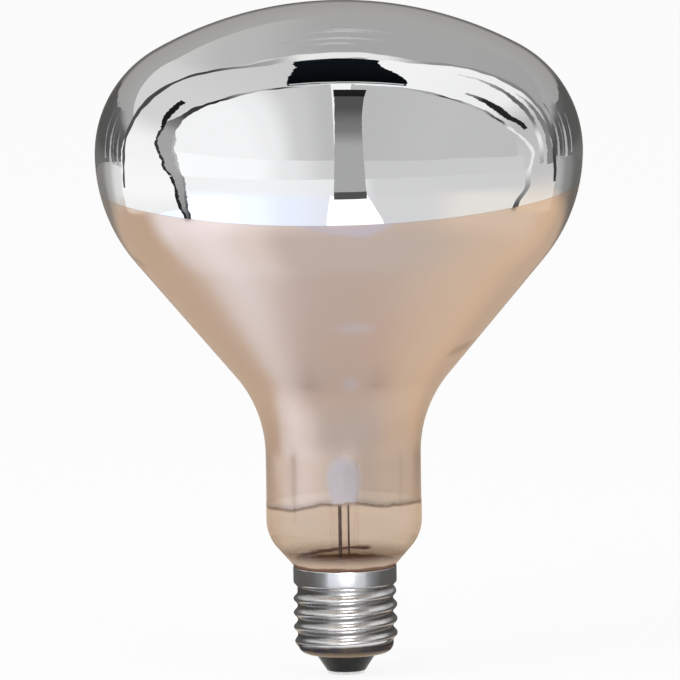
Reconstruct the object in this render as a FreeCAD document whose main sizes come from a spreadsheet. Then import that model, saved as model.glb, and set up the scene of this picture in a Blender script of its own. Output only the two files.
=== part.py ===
import FreeCAD
import Part
import Sketcher

import math
import os
import re

# Infrared heat lamp bulb: blown reflector bulb on an E27 screw cap, base down.
# The origin is the middle of the centre contact, +Z runs up the axis to the dome,
# and +X turned by lead_turn is the side on which the side lead comes out.

# Driving sizes in millimetres and degrees
SIZES = {
    # fits
    "fit_gap": 0.05,
    "mouth_gap": 0.15,
    "cement_gap": 0.3,
    "lead_room": 0.15,
    # centre contact
    "contact_diameter": 9.6,
    "contact_thickness": 0.9,
    "contact_edge_radius": 0.35,
    "eyelet_diameter": 2.8,
    # black glass insulator
    "insulator_drop": 4.5,
    "insulator_tip_diameter": 10.2,
    "insulator_mouth_diameter": 15.7,
    "insulator_flange_height": 3.2,
    "insulator_bore": 3.2,
    # screw shell
    "shell_height": 22.3,
    "shell_wall": 0.35,
    "shell_foot_radius": 2.4,
    "collar_diameter": 26.3,
    "collar_height": 4.0,
    "collar_step": 1.0,
    "thread_root_diameter": 24.3,
    "thread_depth": 1.05,
    "thread_pitch": 3.63,
    "thread_width": 2.6,
    "thread_start": 3.0,
    "thread_start_angle": 112.8,
    "thread_sink": 0.12,
    "side_hole_diameter": 1.4,
    "side_hole_rise": 0.95,
    # blown glass bulb
    "glass_wall": 0.8,
    "bulb_diameter": 123.6,
    "widest_rise": 105.8,
    "dome_height": 38.1,
    "crown_radius": 96.0,
    "flank_radius": 42.5,
    "flank_angle": 40.0,
    "neck_diameter": 39.5,
    "neck_blend_radius": 31.5,
    "neck_foot_radius": 10.5,
    "neck_cone_angle": 41.0,
    "seal_blend_radius": 2.0,
    "seal_depth": 8.0,
    # films on the inside of the glass
    "film_thickness": 0.25,
    "seam_drop": 11.0,
    "film_edge_rise": 16.5,
    # glass stem
    "lead_turn": 57.0,
    "stem_tube_diameter": 7.4,
    "stem_wall": 0.9,
    "press_rise": 15.3,
    "press_taper": 4.5,
    "press_height": 9.0,
    "press_width": 10.0,
    "press_thickness": 4.2,
    "press_end_radius": 2.6,
    "press_round": 1.0,
    "exhaust_diameter": 2.4,
    "exhaust_bore": 1.2,
    "exhaust_drop": 13.5,
    # lead-in wires
    "lead_spread": 4.0,
    "centre_lead_diameter": 0.9,
    "side_lead_diameter": 0.5,
    "lead_bend_radius": 1.2,
    "lead_rise": 4.0,
    "lead_stub": 6.0,
    "lead_drop": 2.0,
    # filament and what carries it
    "rod_diameter": 2.4,
    "rod_length": 43.0,
    "button_diameter": 6.4,
    "support_count": 4,
    "support_diameter": 0.6,
    "support_depth": 2.0,
    "filament_ring_radius": 15.0,
    "filament_coil_diameter": 1.6,
}

# Heights and radii worked out from the sizes
SHELL_LOW = "(contact_thickness + insulator_drop)"
RIM = f"({SHELL_LOW} + shell_height)"
COLLAR_LOW = f"({RIM} - collar_height)"
SIDE_HOLE = f"({COLLAR_LOW} + side_hole_rise)"
SHELL_FLOOR = f"({SHELL_LOW} + shell_wall + fit_gap)"
FLANGE_TOP = f"({SHELL_FLOOR} + insulator_flange_height)"
ROOT_BORE = "(thread_root_diameter / 2 - shell_wall)"
COLLAR_BORE = "(collar_diameter / 2 - shell_wall)"
RIM_GLASS = f"({COLLAR_BORE} - fit_gap)"
SEAL = f"({ROOT_BORE} - side_lead_diameter - 2 * lead_room)"
SEAL_END = f"({RIM} - seal_depth)"
WIDEST = f"({RIM} + widest_rise)"
SEAM = f"({WIDEST} - seam_drop)"
FILM_EDGE = f"({RIM} + film_edge_rise)"
PRESS_FOOT = f"({RIM} + press_rise)"
PRESS_FLAT = f"({PRESS_FOOT} + press_taper)"
PRESS_TOP = f"({PRESS_FLAT} + press_height)"
EXHAUST_TIP = f"({RIM} - exhaust_drop)"
FILAMENT = f"({PRESS_TOP} + rod_length)"
SUPPORT_STEP = "(180 / (support_count + 1))"
LOOP_RADIUS = "(filament_coil_diameter / 2 + fit_gap + support_diameter / 2)"

# The dome's shoulder arc is the one that meets both the widest section and the crown
SHOULDER = (
    "((2 * crown_radius * dome_height - (bulb_diameter / 2) ^ 2 - dome_height ^ 2)"
    " / (2 * (crown_radius - bulb_diameter / 2)))"
)

# Top of the straight glass seal, where the neck starts to widen towards the rim
SEAL_TOP = (
    f"({RIM} - seal_blend_radius * sin(neck_cone_angle) - ({RIM_GLASS} - {SEAL}"
    " - seal_blend_radius * (1 - cos(neck_cone_angle))) / tan(neck_cone_angle))"
)

SIZE_NAME = re.compile(r"\b(" + "|".join(SIZES) + r")\b")

doc = FreeCAD.newDocument("heat_lamp_bulb")
sheet = doc.addObject("Spreadsheet::Sheet", "sizes")
for row, (size_name, size) in enumerate(SIZES.items(), start=1):
    sheet.set(f"A{row}", size_name)
    sheet.set(f"B{row}", str(size))
    sheet.setAlias(f"B{row}", size_name)
doc.recompute()


def full(text):
    """The expression with every size name led by the sheet's name."""
    return SIZE_NAME.sub(r"sizes.\1", text)


def value(text):
    """The number that an expression of sizes stands for now."""
    return float(sheet.evalExpression(full(text)))


def bind(item, **properties):
    """Bind properties of an object to expressions of sizes."""
    for name, text in properties.items():
        item.setExpression(name, full(text))


def turn_about_axis(item, angle="lead_turn"):
    """Turn a finished sub-part about the bulb's axis."""
    item.setExpression("Placement.Rotation.Angle", full(angle))


def new_body(label):
    body = doc.addObject("PartDesign::Body", label)
    body.Label = label
    return body


def plane_of(body, role):
    return next(item for item in body.Origin.OriginFeatures if item.Role == role)


def new_sketch(body, name, role, lift=None):
    """Sketch on one of the body's own planes, raised along its normal where a lift is given."""
    sketch = body.newObject("Sketcher::SketchObject", name)
    sketch.AttachmentSupport = (plane_of(body, role), [""])
    sketch.MapMode = "FlatFace"
    if lift:
        sketch.setExpression("AttachmentOffset.Base.z", full(lift))
    return sketch


def bind_constraint(sketch, constraint, name, text):
    index = sketch.addConstraint(constraint)
    sketch.renameConstraint(index, name)
    sketch.setExpression(f"Constraints.{name}", full(text))


def fix_point(sketch, geometry, end, point, name):
    """Hold one point of a sketch at expressions of sizes."""
    for kind, axis, text in zip(("DistanceX", "DistanceY"), (-2, -1), point):
        if text == "0":
            sketch.addConstraint(Sketcher.Constraint("PointOnObject", geometry, end, axis))
        else:
            distance = Sketcher.Constraint(kind, -1, 1, geometry, end, value(text))
            bind_constraint(sketch, distance, name + kind[-1].lower(), text)


def arc_between(start, stop, radius, sense):
    """The short arc of a radius from start to stop, turning ccw or cw."""
    chord = stop - start
    left = FreeCAD.Vector(-chord.y, chord.x, 0).normalize()
    height = math.sqrt(max(radius ** 2 - chord.Length ** 2 / 4, 0.0))
    side = 1 if sense == "ccw" else -1
    centre = (start + stop) * 0.5 + left * (side * height)
    first, last = (start, stop) if sense == "ccw" else (stop, start)
    low = math.atan2(first.y - centre.y, first.x - centre.x)
    high = math.atan2(last.y - centre.y, last.x - centre.x)
    if high < low:
        high += 2 * math.pi
    circle = Part.Circle(centre, FreeCAD.Vector(0, 0, 1), radius)
    return Part.ArcOfCircle(circle, low, high)


def draw_outline(sketch, points, arcs=None):
    """Closed outline; arcs gives the radius and turning sense of the stretch after a point."""
    arcs = arcs or {}
    places = [FreeCAD.Vector(value(x), value(y), 0) for x, y in points]
    stretches = []
    for number, start in enumerate(places):
        stop = places[(number + 1) % len(places)]
        if number in arcs:
            radius, sense = arcs[number]
            geometry = sketch.addGeometry(arc_between(start, stop, value(radius), sense))
            bind_constraint(sketch, Sketcher.Constraint("Radius", geometry, value(radius)), f"r{number}", radius)
            stretches.append((geometry, 1, 2) if sense == "ccw" else (geometry, 2, 1))
        else:
            geometry = sketch.addGeometry(Part.LineSegment(start, stop))
            stretches.append((geometry, 1, 2))
    for number, point in enumerate(points):
        geometry, near_end, _ = stretches[number]
        previous, _, far_end = stretches[number - 1]
        sketch.addConstraint(Sketcher.Constraint("Coincident", previous, far_end, geometry, near_end))
        fix_point(sketch, geometry, near_end, point, f"p{number}")


def draw_circle(sketch, centre, diameter, name):
    middle = FreeCAD.Vector(value(centre[0]), value(centre[1]), 0)
    circle = Part.Circle(middle, FreeCAD.Vector(0, 0, 1), value(diameter) / 2)
    geometry = sketch.addGeometry(circle)
    fix_point(sketch, geometry, 3, centre, name)
    bind_constraint(sketch, Sketcher.Constraint("Diameter", geometry, value(diameter)), name + "d", diameter)


def turned(body, kind, name, points, arcs=None):
    """Revolution or Groove of a closed section about the body's axis."""
    sketch = new_sketch(body, name + "_section", "XZ_Plane")
    draw_outline(sketch, points, arcs)
    feature = body.newObject("PartDesign::" + kind, name)
    feature.Profile = sketch
    feature.ReferenceAxis = (sketch, ["V_Axis"])
    feature.Angle = 360
    return feature


def pocket_through(body, sketch, name, reverse=False):
    pocket = body.newObject("PartDesign::Pocket", name)
    pocket.Profile = sketch
    pocket.Type = "ThroughAll"
    pocket.Reversed = reverse
    return pocket


def polar_pattern(body, originals, name, angle, count):
    pattern = body.newObject("PartDesign::PolarPattern", name)
    pattern.Originals = originals
    pattern.Axis = (next(item for item in body.Origin.OriginFeatures if item.Role == "Z_Axis"), [""])
    bind(pattern, Angle=angle, Occurrences=count)
    body.Tip = pattern
    return pattern


def bulb_outline(inset):
    """Half section of the blown bulb, drawn in from the outer skin by an inset, filled to the axis."""
    widest = "bulb_diameter / 2"
    neck = "neck_diameter / 2"
    flank = "(1 - cos(flank_angle))"
    cone = "(1 - cos(neck_cone_angle))"
    neck_top = (
        f"({WIDEST} - (flank_radius + neck_blend_radius) * sin(flank_angle) - ({widest} - {neck}"
        f" - (flank_radius + neck_blend_radius) * {flank}) / tan(flank_angle))"
    )
    neck_foot = (
        f"({RIM} + neck_foot_radius * sin(neck_cone_angle)"
        f" + ({neck} - neck_foot_radius * {cone} - {RIM_GLASS}) / tan(neck_cone_angle))"
    )
    foot, blend = f"(neck_foot_radius - {inset})", f"(neck_blend_radius + {inset})"
    side, seal_blend = f"(flank_radius - {inset})", f"(seal_blend_radius + {inset})"
    shoulder, crown = f"({SHOULDER} - {inset})", f"(crown_radius - {inset})"
    points = [
        ("0", SEAL_END),
        (f"{SEAL} - {inset}", SEAL_END),
        (f"{SEAL} - {inset}", SEAL_TOP),
        (f"{SEAL} + seal_blend_radius - {seal_blend} * cos(neck_cone_angle)",
         f"{SEAL_TOP} + {seal_blend} * sin(neck_cone_angle)"),
        (f"{neck} - neck_foot_radius + {foot} * cos(neck_cone_angle)",
         f"{neck_foot} - {foot} * sin(neck_cone_angle)"),
        (f"{neck} - {inset}", neck_foot),
        (f"{neck} - {inset}", neck_top),
        (f"{neck} + neck_blend_radius - {blend} * cos(flank_angle)", f"{neck_top} + {blend} * sin(flank_angle)"),
        (f"{widest} - flank_radius + {side} * cos(flank_angle)", f"{WIDEST} - {side} * sin(flank_angle)"),
        (f"{widest} - {inset}", WIDEST),
        (f"{crown} * ({widest} - {SHOULDER}) / (crown_radius - {SHOULDER})",
         f"{WIDEST} + dome_height - crown_radius"
         f" + {crown} * (crown_radius - dome_height) / (crown_radius - {SHOULDER})"),
        ("0", f"{WIDEST} + dome_height - {inset}"),
    ]
    arcs = {2: (seal_blend, "cw"), 4: (foot, "ccw"), 6: (blend, "cw"),
            8: (side, "ccw"), 9: (shoulder, "ccw"), 10: (crown, "ccw")}
    return points, arcs


def make_centre_contact():
    """Contact plate with a rounded edge and an eyelet for the lead."""
    body = new_body("centre_contact")
    points = [("eyelet_diameter / 2", "0"), ("contact_diameter / 2 - contact_edge_radius", "0"),
              ("contact_diameter / 2", "contact_edge_radius"), ("contact_diameter / 2", "contact_thickness"),
              ("eyelet_diameter / 2", "contact_thickness")]
    turned(body, "Revolution", "contact_plate", points, {1: ("contact_edge_radius", "ccw")})
    return body


def make_contact_solder():
    """Solder that fills the eyelet, flush with the plate."""
    solder = doc.addObject("Part::Cylinder", "contact_solder")
    bind(solder, Radius="eyelet_diameter / 2 - fit_gap", Height="contact_thickness")
    return solder


def make_base_insulator():
    """Black glass cone with a flange inside the shell and a bore for the lead."""
    body = new_body("base_insulator")
    flange = "thread_root_diameter / 2 - shell_foot_radius - fit_gap"
    points = [("insulator_bore / 2", "contact_thickness"), ("insulator_tip_diameter / 2", "contact_thickness"),
              ("insulator_mouth_diameter / 2", SHELL_LOW), ("insulator_mouth_diameter / 2", SHELL_FLOOR),
              (flange, SHELL_FLOOR), (flange, FLANGE_TOP), ("insulator_bore / 2", FLANGE_TOP)]
    turned(body, "Revolution", "insulator_cone", points)
    return body


def make_screw_shell():
    """Drawn shell with collar, rounded foot, rolled right-hand thread and the side lead's hole."""
    body = new_body("screw_shell")
    mouth = "insulator_mouth_diameter / 2 + mouth_gap"
    root, collar = "thread_root_diameter / 2", "collar_diameter / 2"
    points = [
        (mouth, SHELL_LOW), (f"{root} - shell_foot_radius", SHELL_LOW), (root, f"{SHELL_LOW} + shell_foot_radius"),
        (root, f"{COLLAR_LOW} - collar_step"), (collar, COLLAR_LOW), (collar, RIM),
        (COLLAR_BORE, RIM), (COLLAR_BORE, COLLAR_LOW), (ROOT_BORE, f"{COLLAR_LOW} - collar_step"),
        (ROOT_BORE, f"{SHELL_LOW} + shell_foot_radius"),
        (f"{root} - shell_foot_radius", f"{SHELL_LOW} + shell_wall"), (mouth, f"{SHELL_LOW} + shell_wall"),
    ]
    arcs = {1: ("shell_foot_radius", "ccw"), 9: ("shell_foot_radius - shell_wall", "cw")}
    turned(body, "Revolution", "shell_wall_turn", points, arcs)

    ridge = new_sketch(body, "thread_ridge", "XZ_Plane")
    ridge.AttachmentOffset = FreeCAD.Placement(FreeCAD.Vector(), FreeCAD.Rotation(FreeCAD.Vector(0, 1, 0), 1))
    ridge.setExpression("AttachmentOffset.Rotation.Angle", full("thread_start_angle"))
    low = f"{SHELL_LOW} + thread_start - thread_width / 2"
    high = f"{SHELL_LOW} + thread_start + thread_width / 2"
    round_radius = "((thread_width / 2) ^ 2 + thread_depth ^ 2) / (2 * thread_depth)"
    outline = [(f"{root} - thread_sink", low), (root, low), (root, high), (f"{root} - thread_sink", high)]
    draw_outline(ridge, outline, {1: (round_radius, "ccw")})
    thread = body.newObject("PartDesign::AdditiveHelix", "rolled_thread")
    thread.Profile = ridge
    thread.ReferenceAxis = (ridge, ["V_Axis"])
    thread.Mode = "pitch-height-angle"
    bind(thread, Pitch="thread_pitch",
         Height="shell_height - collar_height - collar_step - thread_width / 2 - thread_start")

    hole = new_sketch(body, "side_hole_circle", "YZ_Plane")
    draw_circle(hole, ("0", SIDE_HOLE), "side_hole_diameter", "hole")
    pocket_through(body, hole, "side_hole", reverse=True)
    turn_about_axis(body)
    return body


def make_side_solder():
    """Solder in the collar's hole, flush with the outside and met by the side lead."""
    plug = doc.addObject("Part::Cylinder", "side_solder_plug")
    bind(plug, Radius="side_hole_diameter / 2 - fit_gap", Height="collar_diameter")
    plug.Placement = FreeCAD.Placement(FreeCAD.Vector(), FreeCAD.Rotation(FreeCAD.Vector(0, 1, 0), 90))
    plug.setExpression("Placement.Base.z", full(SIDE_HOLE))
    wall = doc.addObject("Part::Cylinder", "side_solder_wall")
    bore = doc.addObject("Part::Cylinder", "side_solder_bore")
    bind(wall, Radius="collar_diameter / 2", Height=RIM)
    bind(bore, Radius=COLLAR_BORE, Height=RIM)
    ring = doc.addObject("Part::Cut", "side_solder_ring")
    ring.Base = wall
    ring.Tool = bore
    solder = doc.addObject("Part::Common", "side_solder")
    solder.Base = ring
    solder.Tool = plug
    turn_about_axis(solder)
    return solder


def make_basing_cement():
    """Cement ring between the glass seal and the shell, with a slot for the side lead."""
    body = new_body("basing_cement")
    inner = f"{SEAL} + fit_gap"
    root, outer = f"{ROOT_BORE} - fit_gap", f"{COLLAR_BORE} - fit_gap"
    top = f"{RIM} - cement_gap"
    points = [(inner, SEAL_END), (root, SEAL_END), (root, f"{COLLAR_LOW} - collar_step + fit_gap"),
              (outer, f"{COLLAR_LOW} + fit_gap"), (outer, top), (inner, SEAL_TOP)]
    turned(body, "Revolution", "cement_ring", points)
    slot = new_sketch(body, "lead_slot_outline", "XY_Plane", RIM)
    half = "(side_lead_diameter / 2 + fit_gap)"
    reach = "collar_diameter / 2"
    draw_outline(slot, [(SEAL, f"-{half}"), (reach, f"-{half}"), (reach, half), (SEAL, half)])
    pocket_through(body, slot, "lead_slot")
    turn_about_axis(body)
    return body


def make_glass_envelope():
    """Bulb blown in one piece: dome, cone, neck, shoulder and the seal inside the cap."""
    body = new_body("glass_envelope")
    turned(body, "Revolution", "bulb_outside", *bulb_outline("0"))
    turned(body, "Groove", "bulb_inside", *bulb_outline("glass_wall"))
    return body


def make_films():
    """Mirror film of the dome and champagne film of the cone and neck, parted at the seam."""
    lining = new_body("film_lining")
    outside = "(glass_wall + fit_gap)"
    turned(lining, "Revolution", "lining_outside", *bulb_outline(outside))
    turned(lining, "Groove", "lining_inside", *bulb_outline(f"({outside} + film_thickness)"))
    films = []
    for label, low, high in (("dome_mirror", SEAM, f"{WIDEST} + dome_height"), ("rear_coating", FILM_EDGE, SEAM)):
        zone = doc.addObject("Part::Cylinder", label + "_zone")
        bind(zone, Radius="bulb_diameter", Height=f"{high} - {low}")
        zone.setExpression("Placement.Base.z", full(low))
        film = doc.addObject("Part::Common", label)
        film.Base = lining
        film.Tool = zone
        films.append(film)
    return films


def make_glass_stem():
    """Flare tube sealed to the neck, pinched flat round the leads at its top."""
    body = new_body("glass_stem")
    rim = f"({SEAL} - glass_wall - fit_gap)"
    tube = "(stem_tube_diameter / 2)"
    flare = f"({rim} - {tube})"
    bend = f"({SEAL_END} + stem_wall + {flare})"
    points = [(rim, SEAL_END), (rim, f"{SEAL_END} + stem_wall"), (tube, bend), (tube, PRESS_FOOT),
              (f"{tube} - stem_wall", PRESS_FOOT), (f"{tube} - stem_wall", bend)]
    arcs = {1: (flare, "cw"), 5: (f"{flare} + stem_wall", "ccw")}
    turned(body, "Revolution", "flare_tube", points, arcs)

    foot = new_sketch(body, "press_foot", "XY_Plane", PRESS_FOOT)
    corner = f"{tube} * cos(45)"
    draw_outline(foot, [(f"-{corner}", f"-{corner}"), (corner, f"-{corner}"), (corner, corner), (f"-{corner}", corner)],
                 {number: (tube, "ccw") for number in range(4)})
    flat = new_sketch(body, "press_flat", "XY_Plane", PRESS_FLAT)
    thick = "press_thickness / 2"
    end_bulge = "(press_end_radius - sqrt(press_end_radius ^ 2 - (press_thickness / 2) ^ 2))"
    wide = f"(press_width / 2 - {end_bulge})"
    draw_outline(flat, [(f"-{wide}", f"-{thick}"), (wide, f"-{thick}"), (wide, thick), (f"-{wide}", thick)],
                 {1: ("press_end_radius", "ccw"), 3: ("press_end_radius", "ccw")})
    taper = body.newObject("PartDesign::AdditiveLoft", "press_taper_loft")
    taper.Profile = foot
    taper.Sections = [flat]
    taper.Ruled = True
    press = body.newObject("PartDesign::Pad", "press_pad")
    press.Profile = flat
    bind(press, Length="press_height")
    doc.recompute()

    top = value(PRESS_TOP)
    edges = [f"Edge{number}" for number, edge in enumerate(press.Shape.Edges, start=1)
             if abs(edge.BoundBox.ZMin - top) < 1e-4]
    softened = body.newObject("PartDesign::Fillet", "press_fillet")
    softened.Base = (press, edges)
    bind(softened, Radius="press_round")

    holes = new_sketch(body, "lead_circles", "XY_Plane", PRESS_TOP)
    draw_circle(holes, ("-lead_spread / 2", "0"), "centre_lead_diameter + 2 * fit_gap", "centre")
    draw_circle(holes, ("lead_spread / 2", "0"), "side_lead_diameter + 2 * fit_gap", "side")
    pocket_through(body, holes, "lead_holes")
    turn_about_axis(body)
    return body


def make_exhaust_tube():
    """Pumping tube under the press, melted shut at its lower tip."""
    body = new_body("exhaust_tube")
    outer, bore = "exhaust_diameter / 2", "exhaust_bore / 2"
    points = [("0", EXHAUST_TIP), (outer, f"{EXHAUST_TIP} + {outer}"), (outer, PRESS_FOOT), (bore, PRESS_FOOT),
              (bore, f"{EXHAUST_TIP} + {outer}"), ("0", f"{EXHAUST_TIP} + {outer}")]
    turned(body, "Revolution", "tube_wall", points, {0: (outer, "ccw")})
    return body


def bent_wire(label, route, diameter):
    """Round wire along straight runs in the leads' plane, joined by tangent arcs."""
    places = [FreeCAD.Vector(value(x), 0, value(z)) for x, z in route]
    bend = value("lead_bend_radius")
    edges = []
    start = places[0]
    for before, corner, after in zip(places, places[1:], places[2:]):
        back = (before - corner).normalize()
        ahead = (after - corner).normalize()
        half_angle = back.getAngle(ahead) / 2
        reach = bend / math.tan(half_angle)
        bisector = (back + ahead).normalize()
        middle = corner + bisector * (bend / math.sin(half_angle) - bend)
        edges.append(Part.LineSegment(start, corner + back * reach).toShape())
        edges.append(Part.Arc(corner + back * reach, middle, corner + ahead * reach).toShape())
        start = corner + ahead * reach
    edges.append(Part.LineSegment(start, places[-1]).toShape())
    path = Part.Wire(edges)
    section = Part.Wire(Part.makeCircle(value(diameter) / 2, places[0], places[1] - places[0]))
    wire = doc.addObject("Part::Feature", label)
    wire.Shape = path.makePipeShell([section], True, False)
    turn_about_axis(wire)
    return wire


def make_leads():
    """Lead-in wires from the cap through the press to the ends of the filament."""
    tip = f"{FILAMENT} - filament_coil_diameter / 2 - fit_gap"
    stub = f"{FILAMENT} - lead_stub"
    rise = f"{PRESS_TOP} + lead_rise"
    centre = [("-filament_ring_radius", tip), ("-filament_ring_radius", stub), ("-lead_spread / 2", rise),
              ("-lead_spread / 2", f"{EXHAUST_TIP} - lead_drop"), ("0", f"{FLANGE_TOP} + lead_bend_radius"),
              ("0", "contact_thickness + fit_gap")]
    gap_middle = f"({SEAL} + {ROOT_BORE}) / 2"
    side = [("filament_ring_radius", tip), ("filament_ring_radius", stub), ("lead_spread / 2", rise),
            ("lead_spread / 2", f"{SEAL_END} - lead_drop"), (gap_middle, f"{SEAL_END} - lead_drop"),
            (gap_middle, SIDE_HOLE), (f"{COLLAR_BORE} - fit_gap", SIDE_HOLE)]
    return [bent_wire("centre_lead", centre, "centre_lead_diameter"),
            bent_wire("side_lead", side, "side_lead_diameter")]


def make_mount_rod():
    """Glass rod on the press, with a button at its top that holds the support wires."""
    body = new_body("mount_rod")
    rod, button = "rod_diameter / 2", "button_diameter / 2"
    points = [("0", PRESS_TOP), (rod, PRESS_TOP), (rod, f"{FILAMENT} - sqrt(({button}) ^ 2 - ({rod}) ^ 2)"),
              ("0", f"{FILAMENT} + {button}")]
    turned(body, "Revolution", "rod_and_button", points, {2: (button, "ccw")})
    seat = new_sketch(body, "support_seat", "YZ_Plane", "button_diameter / 2 - support_depth - fit_gap")
    draw_circle(seat, ("0", FILAMENT), "support_diameter + 2 * fit_gap", "seat")
    hole = pocket_through(body, seat, "support_hole", reverse=True)
    polar_pattern(body, [hole], "support_holes", f"{SUPPORT_STEP} * (support_count - 1)", "support_count")
    turn_about_axis(body, f"lead_turn + {SUPPORT_STEP}")
    return body


def make_filament_supports():
    """Straight wires from the button, each with a loop round the filament."""
    body = new_body("filament_supports")
    body.AllowCompound = True
    inner = "(button_diameter / 2 - support_depth)"
    section = new_sketch(body, "support_section", "YZ_Plane", inner)
    draw_circle(section, ("0", FILAMENT), "support_diameter", "wire")
    arm = body.newObject("PartDesign::Pad", "support_arm")
    arm.Profile = section
    bind(arm, Length=f"filament_ring_radius - {LOOP_RADIUS} - {inner}")
    sweep = f"{SUPPORT_STEP} * (support_count - 1)"
    polar_pattern(body, [arm], "support_arms", sweep, "support_count")
    loop = body.newObject("PartDesign::AdditiveTorus", "support_loop")
    loop.AttachmentSupport = (plane_of(body, "XZ_Plane"), [""])
    loop.MapMode = "FlatFace"
    bind(loop, Radius1=LOOP_RADIUS, Radius2="support_diameter / 2")
    loop.setExpression("AttachmentOffset.Base.x", full("filament_ring_radius"))
    loop.setExpression("AttachmentOffset.Base.y", full(FILAMENT))
    polar_pattern(body, [loop], "support_loops", sweep, "support_count")
    turn_about_axis(body, f"lead_turn + {SUPPORT_STEP}")
    return body


def make_filament():
    """Tungsten coil as a half ring, drawn at the coil's outer diameter."""
    coil = doc.addObject("Part::Torus", "filament")
    bind(coil, Radius1="filament_ring_radius", Radius2="filament_coil_diameter / 2", Angle3="180")
    coil.setExpression("Placement.Base.z", full(FILAMENT))
    turn_about_axis(coil)
    return coil


subparts = [
    make_centre_contact(),
    make_contact_solder(),
    make_base_insulator(),
    make_screw_shell(),
    make_side_solder(),
    make_basing_cement(),
    make_glass_envelope(),
    *make_films(),
    make_glass_stem(),
    make_exhaust_tube(),
    *make_leads(),
    make_mount_rod(),
    make_filament_supports(),
    make_filament(),
]
doc.recompute()

for item in doc.Objects:
    if "Invalid" in item.State or "Error" in item.State:
        raise RuntimeError(f"{item.Label} failed: {item.State}")
for subpart in subparts:
    if subpart.Shape.isNull() or not subpart.Shape.isValid():
        raise RuntimeError(f"{subpart.Label} has no valid shape")

os.makedirs("parts", exist_ok=True)
for subpart in subparts:
    subpart.Shape.exportStep(f"parts/{subpart.Label}.step")
    print(f"{subpart.Label}: {len(subpart.Shape.Solids)} solid, {subpart.Shape.Volume:.1f} mm3")
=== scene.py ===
import bisect
import math

import bmesh
import bpy
from mathutils import Matrix, Vector, noise


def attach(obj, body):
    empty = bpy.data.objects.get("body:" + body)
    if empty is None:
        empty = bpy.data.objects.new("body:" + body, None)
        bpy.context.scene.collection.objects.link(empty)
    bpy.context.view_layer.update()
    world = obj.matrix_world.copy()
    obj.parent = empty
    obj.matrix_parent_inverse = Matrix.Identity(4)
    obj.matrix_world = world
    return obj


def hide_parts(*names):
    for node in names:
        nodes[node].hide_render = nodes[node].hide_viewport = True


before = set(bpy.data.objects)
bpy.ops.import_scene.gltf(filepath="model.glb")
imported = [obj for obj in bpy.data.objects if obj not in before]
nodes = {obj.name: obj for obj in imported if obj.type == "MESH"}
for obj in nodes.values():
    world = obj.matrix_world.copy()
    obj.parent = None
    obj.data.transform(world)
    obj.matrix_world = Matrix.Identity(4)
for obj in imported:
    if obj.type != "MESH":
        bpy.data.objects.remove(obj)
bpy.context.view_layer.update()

MM = 0.001
MM_IN_METRE = 1000.0

# Heights and radii of the lamp in millimetres, as the solids have them
SEAL_RADIUS = 11.0
SEAL_BLEND = 2.0
SEAL_END = 19.7
SEAL_TOP = 24.939
RIM = 27.7
RIM_RADIUS = 12.75
RIM_SLOPE = 0.8693
RIM_SLANT = 1.325
NECK_RADIUS = 19.75
NECK_FOOT = 39.678
NECK_FOOT_RADIUS = 10.5
NECK_TOP = 56.454
NECK_BLEND = 31.5
WIDEST = 133.5
WIDEST_RADIUS = 61.8
FLANK_RADIUS = 42.5
SHOULDER_RADIUS = 29.888
CROWN_RADIUS = 96.0
CROWN_MIDDLE = 75.6
GLASS_WALL = 0.8
SEAM = 122.5
FILM_EDGE = 44.2
CAP_WALL_RADIUS = 12.15
COLLAR_RADIUS = 13.15
THREAD_PITCH = 3.63
THREAD_DEPTH = 1.05
LEAD_TURN = math.radians(57)

# How far the films' two sides lie under the glass's outer surface, and the steps round the bulb
FILM_OUT, FILM_IN = 0.08, 0.30
BULB_STEPS = 224


class Value:
    """A node's output that plain arithmetic can be written on."""

    def __init__(self, finish, socket):
        self.finish = finish
        self.socket = socket

    def math(self, operation, first, second=0.0, clamp=False):
        settings = {"operation": operation, "use_clamp": clamp}
        return self.finish.node("ShaderNodeMath", settings, {0: first, 1: second})

    def __add__(self, other):
        return self.math("ADD", self, other)

    def __sub__(self, other):
        return self.math("SUBTRACT", self, other)

    def __rsub__(self, other):
        return self.math("SUBTRACT", other, self)

    def __mul__(self, other):
        return self.math("MULTIPLY", self, other)

    def __truediv__(self, other):
        return self.math("DIVIDE", self, other)

    def __pow__(self, other):
        return self.math("POWER", self, other)

    __radd__ = __add__
    __rmul__ = __mul__

    def clamped(self):
        return self.math("ADD", self, 0.0, clamp=True)


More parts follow.
